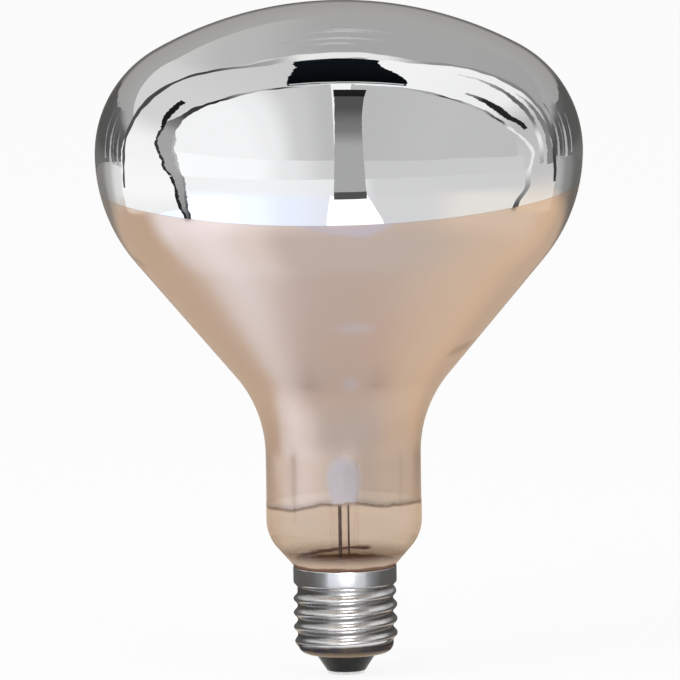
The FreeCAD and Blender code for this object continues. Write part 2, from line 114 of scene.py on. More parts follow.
class Finish:
    """The nodes of one material, or of the world."""

    def __init__(self, name, owner=None):
        self.owner = owner or bpy.data.materials.new(name)
        self.owner.use_nodes = True
        self.tree = self.owner.node_tree
        self.tree.nodes.clear()

    def node(self, kind, settings=None, sockets=None, output=0):
        made = self.tree.nodes.new(kind)
        for name, setting in (settings or {}).items():
            if name == "stops":
                self.set_stops(made.color_ramp, setting)
            else:
                setattr(made, name, setting)
        for name, given in (sockets or {}).items():
            if isinstance(given, Value):
                self.tree.links.new(given.socket, made.inputs[name])
            elif isinstance(given, tuple) and len(made.inputs[name].default_value) == 4:
                made.inputs[name].default_value = (*given, 1.0)
            else:
                made.inputs[name].default_value = given
        return Value(self, made.outputs[output])

    def set_stops(self, ramp, stops):
        while len(ramp.elements) < len(stops):
            ramp.elements.new(1.0)
        for element, (place, colour) in zip(ramp.elements, stops):
            element.position = place
            element.color = (*colour, 1.0)

    def place(self):
        return self.node("ShaderNodeTexCoord", output=3)

    def parts(self, vector):
        split = self.node("ShaderNodeSeparateXYZ", sockets={0: vector})
        made = split.socket.node
        return [Value(self, socket) for socket in made.outputs]

    def vector(self, x, y, z):
        return self.node("ShaderNodeCombineXYZ", sockets={0: x, 1: y, 2: z})

    def scaled(self, vector, factors):
        return self.node("ShaderNodeVectorMath", {"operation": "MULTIPLY"}, {0: vector, 1: factors})

    def cloud(self, vector, scale, detail, roughness):
        sockets = {"Vector": vector, "Scale": scale, "Detail": detail, "Roughness": roughness}
        return self.node("ShaderNodeTexNoise", sockets=sockets)

    def step(self, value, low, high):
        sockets = {"Value": value, "From Min": low, "From Max": high}
        return self.node("ShaderNodeMapRange", {"interpolation_type": "SMOOTHSTEP"}, sockets)

    def spot(self, across, middle, width, up, height, tall):
        """One at the middle of an oval mark, fading to nothing at its edge."""
        side, rise = (across - middle) / width, (up - height) / tall
        return (1.0 - side * side - rise * rise).clamped()

    def blend(self, share, first, second):
        sockets = {0: share, 6: first, 7: second}
        return self.node("ShaderNodeMix", {"data_type": "RGBA"}, sockets, output=2)

    def ramp(self, value, stops):
        return self.node("ShaderNodeValToRGB", {"stops": stops}, {0: value})

    def bump(self, height, depth, strength):
        sockets = {"Height": height, "Distance": depth, "Strength": strength}
        return self.node("ShaderNodeBump", sockets=sockets)

    def turn(self, x, y):
        return self.node("ShaderNodeMath", {"operation": "ARCTAN2"}, {0: y, 1: x})

    def attribute(self, name):
        return self.node("ShaderNodeAttribute", {"attribute_name": name}, output=2)

    def seen(self):
        """One on the way from the camera, a reflection or clear glass, and zero on the way of plain light."""
        camera, glossy, through = [self.node("ShaderNodeLightPath", output=name)
                                   for name in ("Is Camera Ray", "Is Glossy Ray", "Is Transmission Ray")]
        return camera.math("MAXIMUM", camera, camera.math("MAXIMUM", glossy, through))

    def coat(self, **sockets):
        named = {key.replace("_", " "): value for key, value in sockets.items()}
        return self.node("ShaderNodeBsdfPrincipled", sockets=named)

    def mixed(self, share, first, second):
        return self.node("ShaderNodeMixShader", sockets={0: share, 1: first, 2: second})

    def done(self, shader, output="ShaderNodeOutputMaterial"):
        out = self.tree.nodes.new(output)
        self.tree.links.new(shader.socket, out.inputs["Surface"])
        return self.owner


# Helpers for shapes

def eased(share):
    return share * share * (3 - 2 * share)


def between(stops, place):
    """Value at a place along sorted stops, eased from one to the next."""
    if place <= stops[0][0]:
        return stops[0][1]
    for (low, first), (high, second) in zip(stops, stops[1:]):
        if place <= high:
            share = eased((place - low) / (high - low))
            return tuple(a + (b - a) * share for a, b in zip(first, second))
    return stops[-1][1]


def round_angles(steps):
    return [2 * math.pi * step / steps for step in range(steps)]


def ring(radius, height, angles):
    return [(radius * math.cos(angle), radius * math.sin(angle), height) for angle in angles]


def sheet_of_points(name, rows, close=False, sharp=35.0):
    """Mesh from rows of points in millimetres, each row closed to a ring, with poles merged."""
    mesh = bpy.data.meshes.new(name)
    count = len(rows[0])
    points = [Vector(point) * MM for row in rows for point in row]
    faces = []
    for low in range(len(rows) if close else len(rows) - 1):
        first, second = low * count, (low + 1) % len(rows) * count
        for side in range(count):
            other = (side + 1) % count
            faces.append((first + side, first + other, second + other, second + side))
    mesh.from_pydata(points, [], faces)
    work = bmesh.new()
    work.from_mesh(mesh)
    bmesh.ops.remove_doubles(work, verts=work.verts, dist=1e-7)
    bmesh.ops.recalc_face_normals(work, faces=work.faces)
    work.to_mesh(mesh)
    work.free()
    mesh.shade_smooth()
    mesh.set_sharp_from_angle(angle=math.radians(sharp))
    piece = bpy.data.objects.new(name, mesh)
    bpy.context.scene.collection.objects.link(piece)
    return piece


def turned(name, outline, steps, close=False, sharp=35.0):
    """Half section of radius and height pairs turned about the lamp's axis."""
    angles = round_angles(steps)
    rows = [ring(radius, height, angles) for radius, height in outline]
    return sheet_of_points(name, rows, close=close, sharp=sharp)


def arc(x, z, radius, start, stop, count):
    angles = [math.radians(start + (stop - start) * step / count) for step in range(count + 1)]
    return [(x + radius * math.cos(a), z + radius * math.sin(a)) for a in angles]


def bulb_outline(inset, fine=1):
    """The blown bulb's section from the seal's end to the top, drawn in by an inset."""
    over_crown = WIDEST - CROWN_MIDDLE
    crown_low = math.degrees(math.atan2(over_crown, WIDEST_RADIUS - SHOULDER_RADIUS))
    wall = NECK_RADIUS - inset
    outline = [(SEAL_RADIUS - inset, SEAL_END)]
    outline += arc(SEAL_RADIUS + SEAL_BLEND, SEAL_TOP, SEAL_BLEND + inset, 180, 139, 6)
    rim = RIM_RADIUS - inset * RIM_SLANT
    outline += [(rim + RIM_SLOPE * rise, RIM + rise) for rise in (0.3, 1.3, 2.3, 3.3)]
    outline += arc(NECK_RADIUS - NECK_FOOT_RADIUS, NECK_FOOT, NECK_FOOT_RADIUS - inset, -41, 0, 14 * fine)
    outline += [(wall, 42.0 + 0.35 * step) for step in range(14)]
    outline += [(wall, height) for height in (48.0, 50.0, 52.0, 54.0)]
    outline += arc(NECK_RADIUS + NECK_BLEND, NECK_TOP, NECK_BLEND + inset, 180, 140, 18 * fine)
    flank = WIDEST_RADIUS - FLANK_RADIUS
    outline += arc(flank, WIDEST, FLANK_RADIUS - inset, -40, 0, 26 * fine)[:-1]
    shoulder = WIDEST_RADIUS - SHOULDER_RADIUS
    outline += arc(shoulder, WIDEST, SHOULDER_RADIUS - inset, 0, crown_low, 32 * fine)[:-1]
    outline += arc(0, CROWN_MIDDLE, CROWN_RADIUS - inset, crown_low, 90, 24 * fine)
    return outline


def radius_at(outline, height):
    """Radius of a rising outline at a height."""
    above = bisect.bisect_left(outline, height, key=lambda point: point[1])
    above = min(max(above, 1), len(outline) - 1)
    (r0, z0), (r1, z1) = outline[above - 1], outline[above]
    return r0 + (r1 - r0) * (height - z0) / (z1 - z0)


def wall_points(outline, angles, heights):
    """One row of points on the bulb's wall, each at its own height."""
    row = []
    for angle, height in zip(angles, heights):
        radius = radius_at(outline, height)
        row.append((radius * math.cos(angle), radius * math.sin(angle), height))
    return row


def ride_as(piece, node, material):
    piece.data.materials.append(material)
    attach(piece, "root")
    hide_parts(node)


def dress(node, material):
    """Give a solid that keeps its own form its finish."""
    mesh = nodes[node].data
    mesh.materials.clear()
    mesh.materials.append(material)


# Finishes

def glass_shader(finish, face_tint, edge_tint, least, most):
    """Thin clear wall: light comes through tinted, more deeply at a slant, and the surface shines."""
    slant = finish.node("ShaderNodeLayerWeight", sockets={"Blend": 0.5}, output=1)
    straight = finish.node("ShaderNodeBsdfTransparent", sockets={"Color": face_tint})
    aslant = finish.node("ShaderNodeBsdfTransparent", sockets={"Color": edge_tint})
    through = finish.mixed(slant ** 3, straight, aslant)
    shine = finish.coat(Base_Color=(1.0, 1.0, 1.0), Metallic=1.0, Roughness=0.02)
    return finish.mixed(slant ** 5 * most + least, through, shine)


CLEAR = (0.995, 0.995, 0.995)
TAN_FACE, TAN_EDGE = (0.785, 0.69, 0.60), (0.74, 0.62, 0.50)


def clear_glass():
    finish = Finish("clear_glass")
    return finish.done(glass_shader(finish, CLEAR, (0.97, 0.95, 0.92), 0.025, 0.16))


def inner_glass():
    finish = Finish("inner_glass")
    return finish.done(glass_shader(finish, CLEAR, (0.99, 0.985, 0.98), 0.012, 0.1))


def tan_glass():
    finish = Finish("tan_glass")
    return finish.done(glass_shader(finish, TAN_FACE, TAN_EDGE, 0.03, 0.35))


def stained_glass():
    """The lowest glass, dimmed by pale cement behind it, with a brown band and a brown streak at the back."""
    finish = Finish("stained_glass")
    place = finish.place()
    x, y, z = finish.parts(place)
    height = z * MM_IN_METRE
    patch = finish.cloud(finish.scaled(place, (170.0, 170.0, 700.0)), 1.0, 3.0, 0.6)
    ragged = height + patch * 1.8
    band = finish.step(ragged, 29.9, 29.3)
    behind = finish.step(y, 0.002, 0.009)
    lie = ragged - x * 75.0
    across = finish.step(x, -0.0125, -0.0105) * finish.step(x, 0.0075, 0.0055)
    streak = finish.step(lie, 30.2, 30.7) * finish.step(lie, 31.5, 31.0) * behind * across
    brown = (band + streak).clamped()
    colour = finish.blend(brown, (0.72, 0.54, 0.41), (0.24, 0.125, 0.075))
    frost = finish.coat(Base_Color=colour, Roughness=0.6)
    glass = glass_shader(finish, TAN_FACE, TAN_EDGE, 0.03, 0.35)
    haze = finish.step(height, 32.6, 28.6) * 0.85
    return finish.done(finish.mixed((haze + brown * 0.5).clamped(), glass, frost))


def mirror_finish():
    finish = Finish("dome_silver")
    place = finish.place()
    swell = finish.cloud(place, 26.0, 1.0, 0.4)
    ripple = finish.cloud(place, 90.0, 2.0, 0.5)
    smear = finish.cloud(finish.scaled(place, (60.0, 60.0, 140.0)), 1.0, 4.0, 0.6)
    normal = finish.bump(swell + ripple * 0.08, 0.00045, 0.5)
    rough = finish.step(smear, 0.5, 0.9) * 0.02 + 0.008
    silver = (0.90, 0.905, 0.915)
    return finish.done(finish.coat(Base_Color=silver, Metallic=1.0, Roughness=rough, Normal=normal))


def champagne_finish():
    """Satin film: two painted pale highlights and two dark marks in front, a dark lower edge, and thin at the
    press.
    """
    finish = Finish("champagne_film")
    place = finish.place()
    rise = finish.attribute("rise")
    wide = finish.cloud(place, 22.0, 2.0, 0.5)
    x, y, z = [part * MM_IN_METRE for part in finish.parts(place)]
    soft = finish.blend(finish.step(wide, 0.35, 0.65), (0.76, 0.595, 0.475), (0.75, 0.61, 0.505))
    front = finish.step(y, 0.0, -6.0)
    # The two small pale spots in front are painted highlights.
    painted_glint_high = finish.spot(x, 3.4, 6.0, z, 93.2, 2.2)
    painted_glint_low = finish.spot(x, 2.1, 2.6, z, 77.6, 2.8)
    glinted = finish.blend((painted_glint_high + painted_glint_low) * front * 0.45, soft, (0.76, 0.72, 0.76))
    dust_right = finish.spot(x, 30.5, 4.5, z - x * 0.3, 75.6, 1.6)
    dust_left = finish.spot(x, -50.9, 2.6, z + x * 0.64, 75.4, 1.1)
    dusty = finish.blend((dust_right + dust_left) * front * 0.5, glinted, (0.30, 0.23, 0.17))
    thin = finish.step(finish.attribute("thin"), 0.0, 0.9)
    edge = finish.step(rise, 2.8, 0.3) * (1.0 - thin * 0.6)
    edged = finish.blend(edge * 0.78, dusty, (0.23, 0.19, 0.155))
    colour = finish.blend(thin * 0.8, edged, (0.80, 0.755, 0.80))
    matt = finish.step(wide, 0.3, 0.7) * 0.008 + 0.264
    rough = matt - finish.step(z, 106.0, 119.0) * 0.12 - finish.step(z, 116.0, 121.0) * 0.04
    cover = 1.0 - finish.step(rise, 30.0, 6.0) * 0.34 - thin * 0.16
    alpha = cover * finish.step(rise, 0.0, 1.0)
    return finish.done(finish.coat(Base_Color=colour, Metallic=0.9, Roughness=rough, Alpha=alpha))


def aluminium_finish():
    """Drawn aluminium with painted shade in the thread's valleys and painted shade on its foot, tinted purple
    and golden-brown.
    """
    finish = Finish("cap_aluminium")
    place = finish.place()
    x, y, z = finish.parts(place)
    height = z * MM_IN_METRE
    reach = (x * x + y * y) ** 0.5 * MM_IN_METRE
    lines = finish.cloud(finish.vector(finish.turn(x, y) * 0.6, 0.0, height * 9.0), 1.0, 3.0, 0.6)
    blotch = finish.cloud(place, 260.0, 3.0, 0.6)
    bright = finish.blend(finish.step(lines, 0.3, 0.7), (0.74, 0.74, 0.735), (0.84, 0.84, 0.835))
    dull = finish.blend(finish.step(blotch, 0.5, 0.8) * 0.25, bright, (0.55, 0.53, 0.50))
    # The thread's valleys are darkened as painted shade.
    valley = finish.step(reach + blotch * 0.3, 12.95, 12.35) * finish.step(height, 22.9, 22.3)
    valley_shaded = finish.blend(valley * 0.75, dull, (0.27, 0.26, 0.25))
    # The downward-facing foot is painted dark as painted shade, purple in the middle and golden-brown at its
    # lowest edge.
    foot = finish.step(height + blotch * 0.8, 9.3, 8.3)
    low = finish.step(height, 7.0, 5.6)
    foot_shade_tints = [(0.30, (0.085, 0.08, 0.13)), (0.5, (0.105, 0.085, 0.075)), (0.7, (0.15, 0.115, 0.085))]
    foot_shade = finish.blend(low * 0.7, finish.ramp(blotch, foot_shade_tints), (0.34, 0.22, 0.10))
    colour = finish.blend(foot * 0.94, valley_shaded, foot_shade)
    rough = finish.step(blotch, 0.3, 0.75) * 0.08 + 0.20 + foot * 0.10 + valley * 0.06
    normal = finish.bump(lines * 0.5 + blotch, 0.000008, 0.6)
    return finish.done(finish.coat(Base_Color=colour, Metallic=1.0, Roughness=rough, Normal=normal))


def black_glass_finish():
    finish = Finish("black_glass")
    place = finish.place()
    mottle = finish.cloud(place, 300.0, 2.0, 0.5)
    blacks = [(0.35, (0.008, 0.008, 0.0075)), (0.6, (0.018, 0.0175, 0.016)), (0.8, (0.04, 0.034, 0.028))]
    colour = finish.ramp(mottle, blacks)
    rough = finish.step(mottle, 0.3, 0.8) * 0.2 + 0.2
    normal = finish.bump(mottle, 0.00008, 0.4)
    shader = finish.coat(Base_Color=colour, Roughness=rough, Specular_IOR_Level=0.25, Normal=normal)
    return finish.done(shader)


def tin_finish():
    finish = Finish("tin")
    place = finish.place()
    scuff = finish.cloud(finish.scaled(place, (400.0, 1400.0, 400.0)), 1.0, 3.0, 0.6)
    lump = finish.cloud(place, 500.0, 2.0, 0.5)
    colour = finish.blend(finish.step(scuff, 0.45, 0.8), (0.80, 0.795, 0.78), (0.60, 0.585, 0.56))
    rough = finish.step(scuff, 0.3, 0.8) * 0.15 + 0.2
    normal = finish.bump(scuff * 0.3 + lump, 0.00003, 0.4)
    return finish.done(finish.coat(Base_Color=colour, Metallic=1.0, Roughness=rough, Normal=normal))


def cement_finish():
    finish = Finish("cement")
    place = finish.place()
    height = finish.parts(place)[2] * MM_IN_METRE
    grit = finish.cloud(place, 1500.0, 4.0, 0.7)
    patch = finish.cloud(place, 180.0, 2.0, 0.5)
    pale = finish.blend(finish.step(patch, 0.35, 0.65), (0.70, 0.52, 0.38), (0.80, 0.64, 0.48))
    browned = finish.step(height + patch * 1.5, 27.3, 28.0)
    colour = finish.blend(browned * 0.85, pale, (0.20, 0.11, 0.06))
    speckled = finish.blend(finish.step(grit, 0.55, 0.75) * 0.25, colour, (0.40, 0.27, 0.17))
    normal = finish.bump(grit, 0.0002, 0.6)
    return finish.done(finish.coat(Base_Color=speckled, Roughness=0.85, Normal=normal))


def wire_finish():
    finish = Finish("lead_wire")
    place = finish.place()
    spots = finish.cloud(place, 700.0, 3.0, 0.6)
    browns = [(0.3, (0.13, 0.085, 0.06)), (0.55, (0.20, 0.14, 0.10)), (0.75, (0.30, 0.22, 0.16))]
    colour = finish.ramp(spots, browns)
    rough = finish.step(spots, 0.3, 0.7) * 0.2 + 0.35
    normal = finish.bump(spots, 0.00004, 0.5)
    return finish.done(finish.coat(Base_Color=colour, Metallic=0.6, Roughness=rough, Normal=normal))


def tungsten_finish():
    finish = Finish("tungsten")
    place = finish.place()
    drawn = finish.cloud(place, 1200.0, 2.0, 0.5)
    colour = finish.blend(finish.step(drawn, 0.35, 0.7), (0.20, 0.195, 0.19), (0.30, 0.295, 0.28))
    rough = finish.step(drawn, 0.3, 0.7) * 0.15 + 0.3
    normal = finish.bump(drawn, 0.00003, 0.4)
    return finish.done(finish.coat(Base_Color=colour, Metallic=1.0, Roughness=rough, Normal=normal))


def stem_finish():
    """Clear glass that turns milky in the press."""
    finish = Finish("stem_glass")
    place = finish.place()
    height = finish.parts(place)[2] * MM_IN_METRE
    streak = finish.cloud(finish.scaled(place, (500.0, 500.0, 90.0)), 1.0, 2.0, 0.5)
    clear = glass_shader(finish, (0.995, 0.99, 0.985), (0.97, 0.96, 0.945), 0.01, 0.15)
    colour = finish.blend(finish.step(streak, 0.35, 0.7), (0.80, 0.79, 0.86), (0.94, 0.94, 0.98))
    rough = finish.step(streak, 0.3, 0.7) * 0.1 + 0.12
    milky = finish.coat(Base_Color=colour, Roughness=rough)
    milkiness = finish.step(height, 42.5, 45.5) * 0.92
    return finish.done(finish.mixed(milkiness, clear, milky))


# Pieces

def seam(angle):
    """Height of the line between the two films, which lies a little aslant and wavers."""
    spot = Vector((math.cos(angle) * 2.0, math.sin(angle) * 2.0, 5.0))
    slope = 2.15 * math.sin(angle) + 0.6 * math.cos(angle) + 0.88 * math.cos(2 * angle)
    return SEAM + 1.73 + slope + 0.12 * noise.noise(spot)


def film_edge(angle):
    """Height of the champagne film's ragged lower edge, highest in front of the press."""
    turn = math.degrees(math.atan2(math.cos(angle), -math.sin(angle)))
    wave = ((-180, -0.4), (-90, -1.5), (-48, -1.4), (-12, 0.9), (6, 1.3), (32, 0.1), (62, -0.4), (90, -1.0),
            (180, -0.4))
    above = between([(place, (lift,)) for place, lift in wave], turn)[0]
    spot = Vector((math.cos(angle) * 1.3, math.sin(angle) * 1.3, 2.7))
    return FILM_EDGE + above + 0.3 * noise.noise(spot * 2.0) + 0.25 * noise.noise(spot * 4.1)


def make_bulb():
    """The blown bulb, clear where a film lies behind it, tan below the films and stained at the cap."""
    outer, inner = bulb_outline(0.0), bulb_outline(GLASS_WALL)
    bulb = turned("blown_bulb", outer + inner[::-1], BULB_STEPS, close=True, sharp=50.0)
    ride_as(bulb, "glass_envelope", clear_glass())
    for finish in (tan_glass(), stained_glass(), inner_glass()):
        bulb.data.materials.append(finish)
    tan, stained, inside = 1, 2, 3
    stain_top, film_overlap = 33.0, 1.1
    middle = bulb_outline(GLASS_WALL / 2)
    for face in bulb.data.polygons:
        x, y, height = face.center / MM
        if math.hypot(x, y) < radius_at(middle, height):
            face.material_index = inside
        elif height < stain_top:
            face.material_index = stained
        elif height < film_edge(math.atan2(y, x)) + film_overlap:
            face.material_index = tan


def make_mirror_film():
    """The mirror film from the seam over the whole dome."""
    angles = round_angles(BULB_STEPS)
    level = SEAM + 4.0
    rows = []
    for inset, way in ((FILM_OUT, 1), (FILM_IN, -1)):
        outline = bulb_outline(inset)
        sheet = []
        for share in (0.0, 0.25, 0.5, 0.75):
            heights = [seam(angle) + (level - seam(angle)) * share for angle in angles]
            sheet.append(wall_points(outline, angles, heights))
        sheet += [ring(radius, height, angles) for radius, height in outline if height > level]
        rows += sheet[::way]
    film = sheet_of_points("mirror_film", rows, close=True, sharp=50.0)
    ride_as(film, "dome_mirror", mirror_finish())


def thinness(point):
    """How thin the film is over the stem's press: one at its middle line, zero at its edge."""
    x, height = point[0], point[2]
    half = 3.4 + 1.7 * min(max((height - 45.0) / 6.0, 0.0), 1.0)
    off_press = math.hypot(x / half, max(height - 53.0, 0.0) / 6.0)
    return max(0.0, 1.0 - off_press ** 3)


def make_champagne_film():
    """The satin film from its ragged edge up to the seam, with level rows between the two."""
    angles = round_angles(BULB_STEPS)
    count, crowding, reach = 110, 1.25, 0.2
    shares = [(row / count) ** crowding for row in range(count + 1)]
    lows = [film_edge(angle) for angle in angles]
    highs = [seam(angle) - 0.03 for angle in angles]
    foot, head = sum(lows) / BULB_STEPS, sum(highs) / BULB_STEPS
    rows, rises = [], []
    for inset, order in ((FILM_OUT, shares), (FILM_IN, shares[::-1])):
        outline = bulb_outline(inset, 8)
        for share in order:
            level = foot + (head - foot) * share
            by_foot = max(1 - share / reach, 0.0)
            by_head = max(1 - (1 - share) / reach, 0.0)
            heights = [level + (low - foot) * by_foot + (high - head) * by_head
                       for low, high in zip(lows, highs)]
            rows.append(wall_points(outline, angles, heights))
            rises += [height - low for height, low in zip(heights, lows)]
    thins = [thinness(point) for row in rows for point in row]
    film = sheet_of_points("champagne_film", rows, close=True, sharp=50.0)
    for name, values in (("rise", rises), ("thin", thins)):
        attribute = film.data.attributes.new(name, "FLOAT", "POINT")
        attribute.data.foreach_set("value", values)
    ride_as(film, "rear_coating", champagne_finish())


def thread_swell(angle, height):
    """How far the rolled thread stands out at one spot of the cap's wall."""
    first, last, start = 8.35, 21.4, -0.577
    offset = start + THREAD_PITCH * math.degrees(angle) / 360
    middle = offset + round((height - offset) / THREAD_PITCH) * THREAD_PITCH
    fade_in = eased(min(max(middle - first + 0.5, 0.0), 1.0))
    fade_out = eased(min(max(last + 0.5 - middle, 0.0), 1.0))
    wave = 0.5 + 0.5 * math.cos(2 * math.pi * (height - middle) / THREAD_PITCH)
    return THREAD_DEPTH * fade_in * fade_out * wave ** 1.25


def make_cap():
    """The cap's sheet: up outside over its foot, threaded wall and collar, and down again inside."""
    angles = round_angles(256)
    foot_reach, foot_level, thread_foot = 9.75, 7.8, 6.6
    wall_height, wall_rows = 14.7, 120
    outer = [(8.05, 5.4), (8.6, 5.4)] + arc(foot_reach, foot_level, 2.4, -90, 0, 12)
    for step in range(1, wall_rows + 1):
        outer.append((CAP_WALL_RADIUS, foot_level + wall_height * step / wall_rows))
    rows = []
    for radius, height in outer:
        rows.append([])
        for angle in angles:
            reach = radius + (thread_swell(angle, height) if height > thread_foot else 0.0)
            rows[-1].append((reach * math.cos(angle), reach * math.sin(angle), height))
    collar = [(12.35, 22.75), (12.75, 23.2), (13.05, 23.5), (13.13, 23.75)]
    collar += [(COLLAR_RADIUS, height) for height in (24.1, 26.2, 27.2)]
    collar += arc(12.95, 27.5, 0.2, 0, 180, 8)
    inner = [(12.8, 27.2), (12.8, 23.9), (11.8, 22.5), (11.8, 7.9)]
    inner += arc(foot_reach, foot_level, 2.05, 0, -90, 6)
    inner += [(8.05, 5.75)]
    rows += [ring(radius, height, angles) for radius, height in collar + inner]
    cap = sheet_of_points("rolled_cap", rows, close=True, sharp=40.0)
    ride_as(cap, "screw_shell", aluminium_finish())
    return cap


def make_insulator():
    outline = [(1.6, 0.9), (4.75, 0.9), (5.0, 0.98), (5.12, 1.2), (7.65, 5.05), (7.8, 5.3), (7.85, 5.5)]
    outline += [(7.85, 5.84), (9.5, 5.86), (9.65, 6.0), (9.65, 8.8), (9.5, 8.98), (1.6, 8.98)]
    cone = turned("black_glass_cone", outline, 96, close=True)
    ride_as(cone, "base_insulator", black_glass_finish())


def make_contact(tin):
    outline = [(1.4, 0.03), (2.6, 0.02), (4.2, 0.03), (4.55, 0.1), (4.76, 0.3), (4.8, 0.55), (4.76, 0.9)]
    outline += [(1.4, 0.9)]
    plate = turned("contact_plate", outline, 96, close=True)
    ride_as(plate, "centre_contact", tin)
    outline = [(0.0, 0.0), (0.7, 0.005), (1.15, 0.03), (1.35, 0.12), (1.35, 0.9), (0.0, 0.9)]
    drop = turned("contact_drop", outline, 48)
    ride_as(drop, "contact_solder", tin)


def make_side_solder(tin):
    """A drop of solder on the collar, where the side lead comes out."""
    outward = Vector((math.cos(LEAD_TURN), math.sin(LEAD_TURN), 0))
    across = Vector((-math.sin(LEAD_TURN), math.cos(LEAD_TURN), 0))
    level, flatness = 24.75, 0.62
    section = ((0.0, 0.5), (0.5, 0.46), (1.0, 0.36), (1.4, 0.2), (1.6, 0.03), (0.65, -0.34), (0.0, -0.34))
    rows = []
    for radius, lift in section:
        rows.append([])
        for angle in round_angles(32):
            uneven = 1 + 0.12 * math.sin(2 * angle + 0.6) + 0.06 * math.sin(5 * angle)
            side = radius * uneven * math.cos(angle)
            reach = math.sqrt(COLLAR_RADIUS ** 2 - side ** 2) + lift
            height = level + radius * uneven * math.sin(angle) * flatness
            rows[-1].append(outward * reach + across * side + Vector((0, 0, height)))
    drop = sheet_of_points("side_solder_drop", rows, sharp=60.0)
    ride_as(drop, "side_solder", tin)


def make_filament(material):
    """The tungsten coil, wound round a half ring."""
    turns, per_turn, sides = 46, 14, 6
    ring_radius, ring_height, coil_radius, wire_radius = 15.0, 99.5, 0.62, 0.17
    up = Vector((0, 0, 1))
    rows = []
    for step in range(turns * per_turn + 1):
        share = step / (turns * per_turn)
        along = LEAD_TURN + math.pi * share
        wind = 2 * math.pi * turns * share
        outward = Vector((math.cos(along), math.sin(along), 0))
        forward = Vector((-math.sin(along), math.cos(along), 0))
        middle = outward * (ring_radius + coil_radius * math.cos(wind))
        middle += up * (ring_height + coil_radius * math.sin(wind))
        away = outward * math.cos(wind) + up * math.sin(wind)
        rows.append([middle + away * wire_radius * math.cos(around) + forward * wire_radius * math.sin(around)
                     for around in round_angles(sides)])
    coil = sheet_of_points("tungsten_coil", rows, sharp=80.0)
    ride_as(coil, "filament", material)


# Studio

def floor_finish():
    finish = Finish("pale_floor")
    paper = finish.node("ShaderNodeBsdfDiffuse", sockets={"Color": (0.95, 0.95, 0.95)})
    white = finish.node("ShaderNodeEmission", sockets={"Color": (1.0, 1.0, 1.0), "Strength": 1.0})
    return finish.done(finish.mixed(finish.seen() * 0.9, paper, white))


def card_finish():
    finish = Finish("studio_card")
    glow = finish.node("ShaderNodeAttribute", {"attribute_name": "glow"}, output=0)
    return finish.done(finish.node("ShaderNodeEmission", sockets={"Color": glow, "Strength": 1.0}))


CARD_MIDDLE = Vector((0, 0, 0.13))


def hoop_way(lean, turn):
    """Direction at an angle from the camera's side, turned round that way from straight up."""
    a, b = math.radians(lean), math.radians(turn)
    return Vector((math.sin(a) * math.sin(b), -math.cos(a), math.sin(a) * math.cos(b)))


def strip_way(side, lift):
    """Direction at an angle to the side of the middle plane, lifted from front over top to back."""
    a, b = math.radians(side), math.radians(lift)
    return Vector((math.sin(a), -math.cos(a) * math.cos(b), math.cos(a) * math.sin(b)))


def wall_way(lift, side):
    return strip_way(side, lift)


def round_way(lift, turn):
    """Direction lifted from level, turned about the lamp from the camera's side."""
    a, b = math.radians(lift), math.radians(turn)
    return Vector((math.cos(a) * math.sin(b), -math.cos(a) * math.cos(b), math.sin(a)))


def glowing_sheet(name, rows, levels, finish):
    """A card of the studio that only reflections see, with a colour at each point."""
    count = len(rows[0])
    faces = []
    for low in range(len(rows) - 1):
        for side in range(count - 1):
            corner = low * count + side
            faces.append((corner, corner + 1, corner + count + 1, corner + count))
    mesh = bpy.data.meshes.new(name)
    mesh.from_pydata([point for row in rows for point in row], [], faces)
    attribute = mesh.attributes.new("glow", "FLOAT_COLOR", "POINT")
    parts = [part for row in levels for level in row for part in (*level, 1.0)]
    attribute.data.foreach_set("color", parts)
    mesh.materials.append(finish)
    sheet = bpy.data.objects.new(name, mesh)
    bpy.context.scene.collection.objects.link(sheet)
    sheet.visible_camera = False
    sheet.visible_diffuse = False
    sheet.visible_shadow = False
    sheet.visible_transmission = False


def card(name, way, first, second, glow, distance, finish, ragged=0.0):
    """Part of the light tent: a direction's two angles bound it, its rim is ragged, and below level it lies
    on the floor. Its bounds in the first angle and its greys may be stops along the second angle."""
    across, along = 24, 160
    low = 0.002 + 0.02 * (1.2 - distance)
    edges = first if isinstance(first, list) else [(0, first)]
    stops = [(place, level if isinstance(level, tuple) else (level,) * 3) for place, level in glow]
    rows, levels = [], []
    for row in range(along + 1):
        share = row / along
        other = second[0] + (second[1] - second[0]) * share
        near, far = between(edges, other)
        rows.append([])
        levels.append([between(stops, other)] * (across + 1))
        for column in range(across + 1):
            rest = column / across
            side = 0.0 if rest < 0.5 else 7.0
            waver = noise.noise(Vector((share * 9.0, distance * 31.0, side)))
            waver += 0.55 * noise.noise(Vector((share * 41.0, distance * 17.0, side)))
            direction = way(near + (far - near) * rest + ragged * waver * abs(rest - 0.5) * 2, other)
            reach = distance
            if direction.z < 0:
                reach = min(distance, (CARD_MIDDLE.z - low) / -direction.z)
            rows[-1].append(CARD_MIDDLE + direction * reach)
    glowing_sheet(name, rows, levels, finish)


